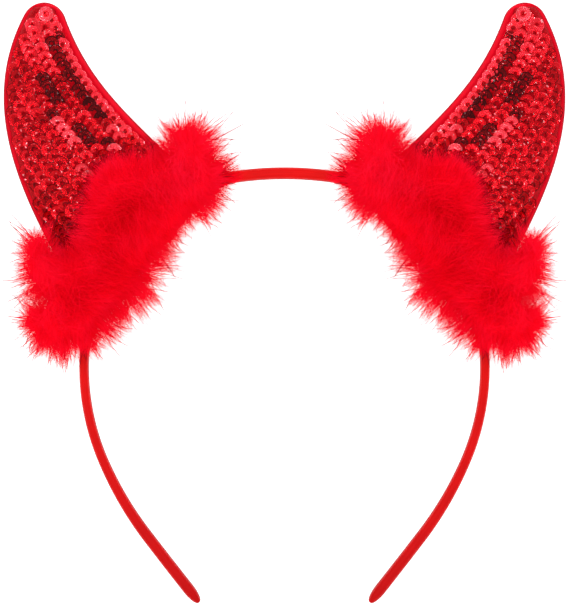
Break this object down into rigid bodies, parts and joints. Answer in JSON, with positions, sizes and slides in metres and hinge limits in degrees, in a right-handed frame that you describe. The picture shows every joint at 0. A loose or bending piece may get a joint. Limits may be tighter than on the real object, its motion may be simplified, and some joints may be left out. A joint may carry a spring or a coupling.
{
  "type": "devil horns headband",
  "caption": "Satin-covered headband with a pair of stuffed sequin devil horns and a fluffy marabou trim round each horn's base, lying flat on its back.",
  "frame": {"origin": "on the surface that the headband lies on, under the middle of its outline", "axes": "+Z out of the front of the headband, +Y from the band's tips towards the horns' tips, +X to the right as seen from the front"},
  "size_m": [0.1922, 0.2048, 0.0319],
  "materials": {
    "band_satin": "red satin ribbon wrapped over a plastic hoop",
    "horn_satin": "red satin cloth",
    "sequin_cloth": "glossy red cupped sequins on knit cloth",
    "marabou": "red dyed down feather"
  },
  "bodies": {
    "root": {"satin_band": "band_satin", "horn_pad_left": "horn_satin", "horn_pad_right": "horn_satin", "sequin_front_left": "sequin_cloth", "sequin_front_right": "sequin_cloth", "marabou_trim_left": "marabou", "marabou_trim_right": "marabou"}
  },
  "joints": []
}
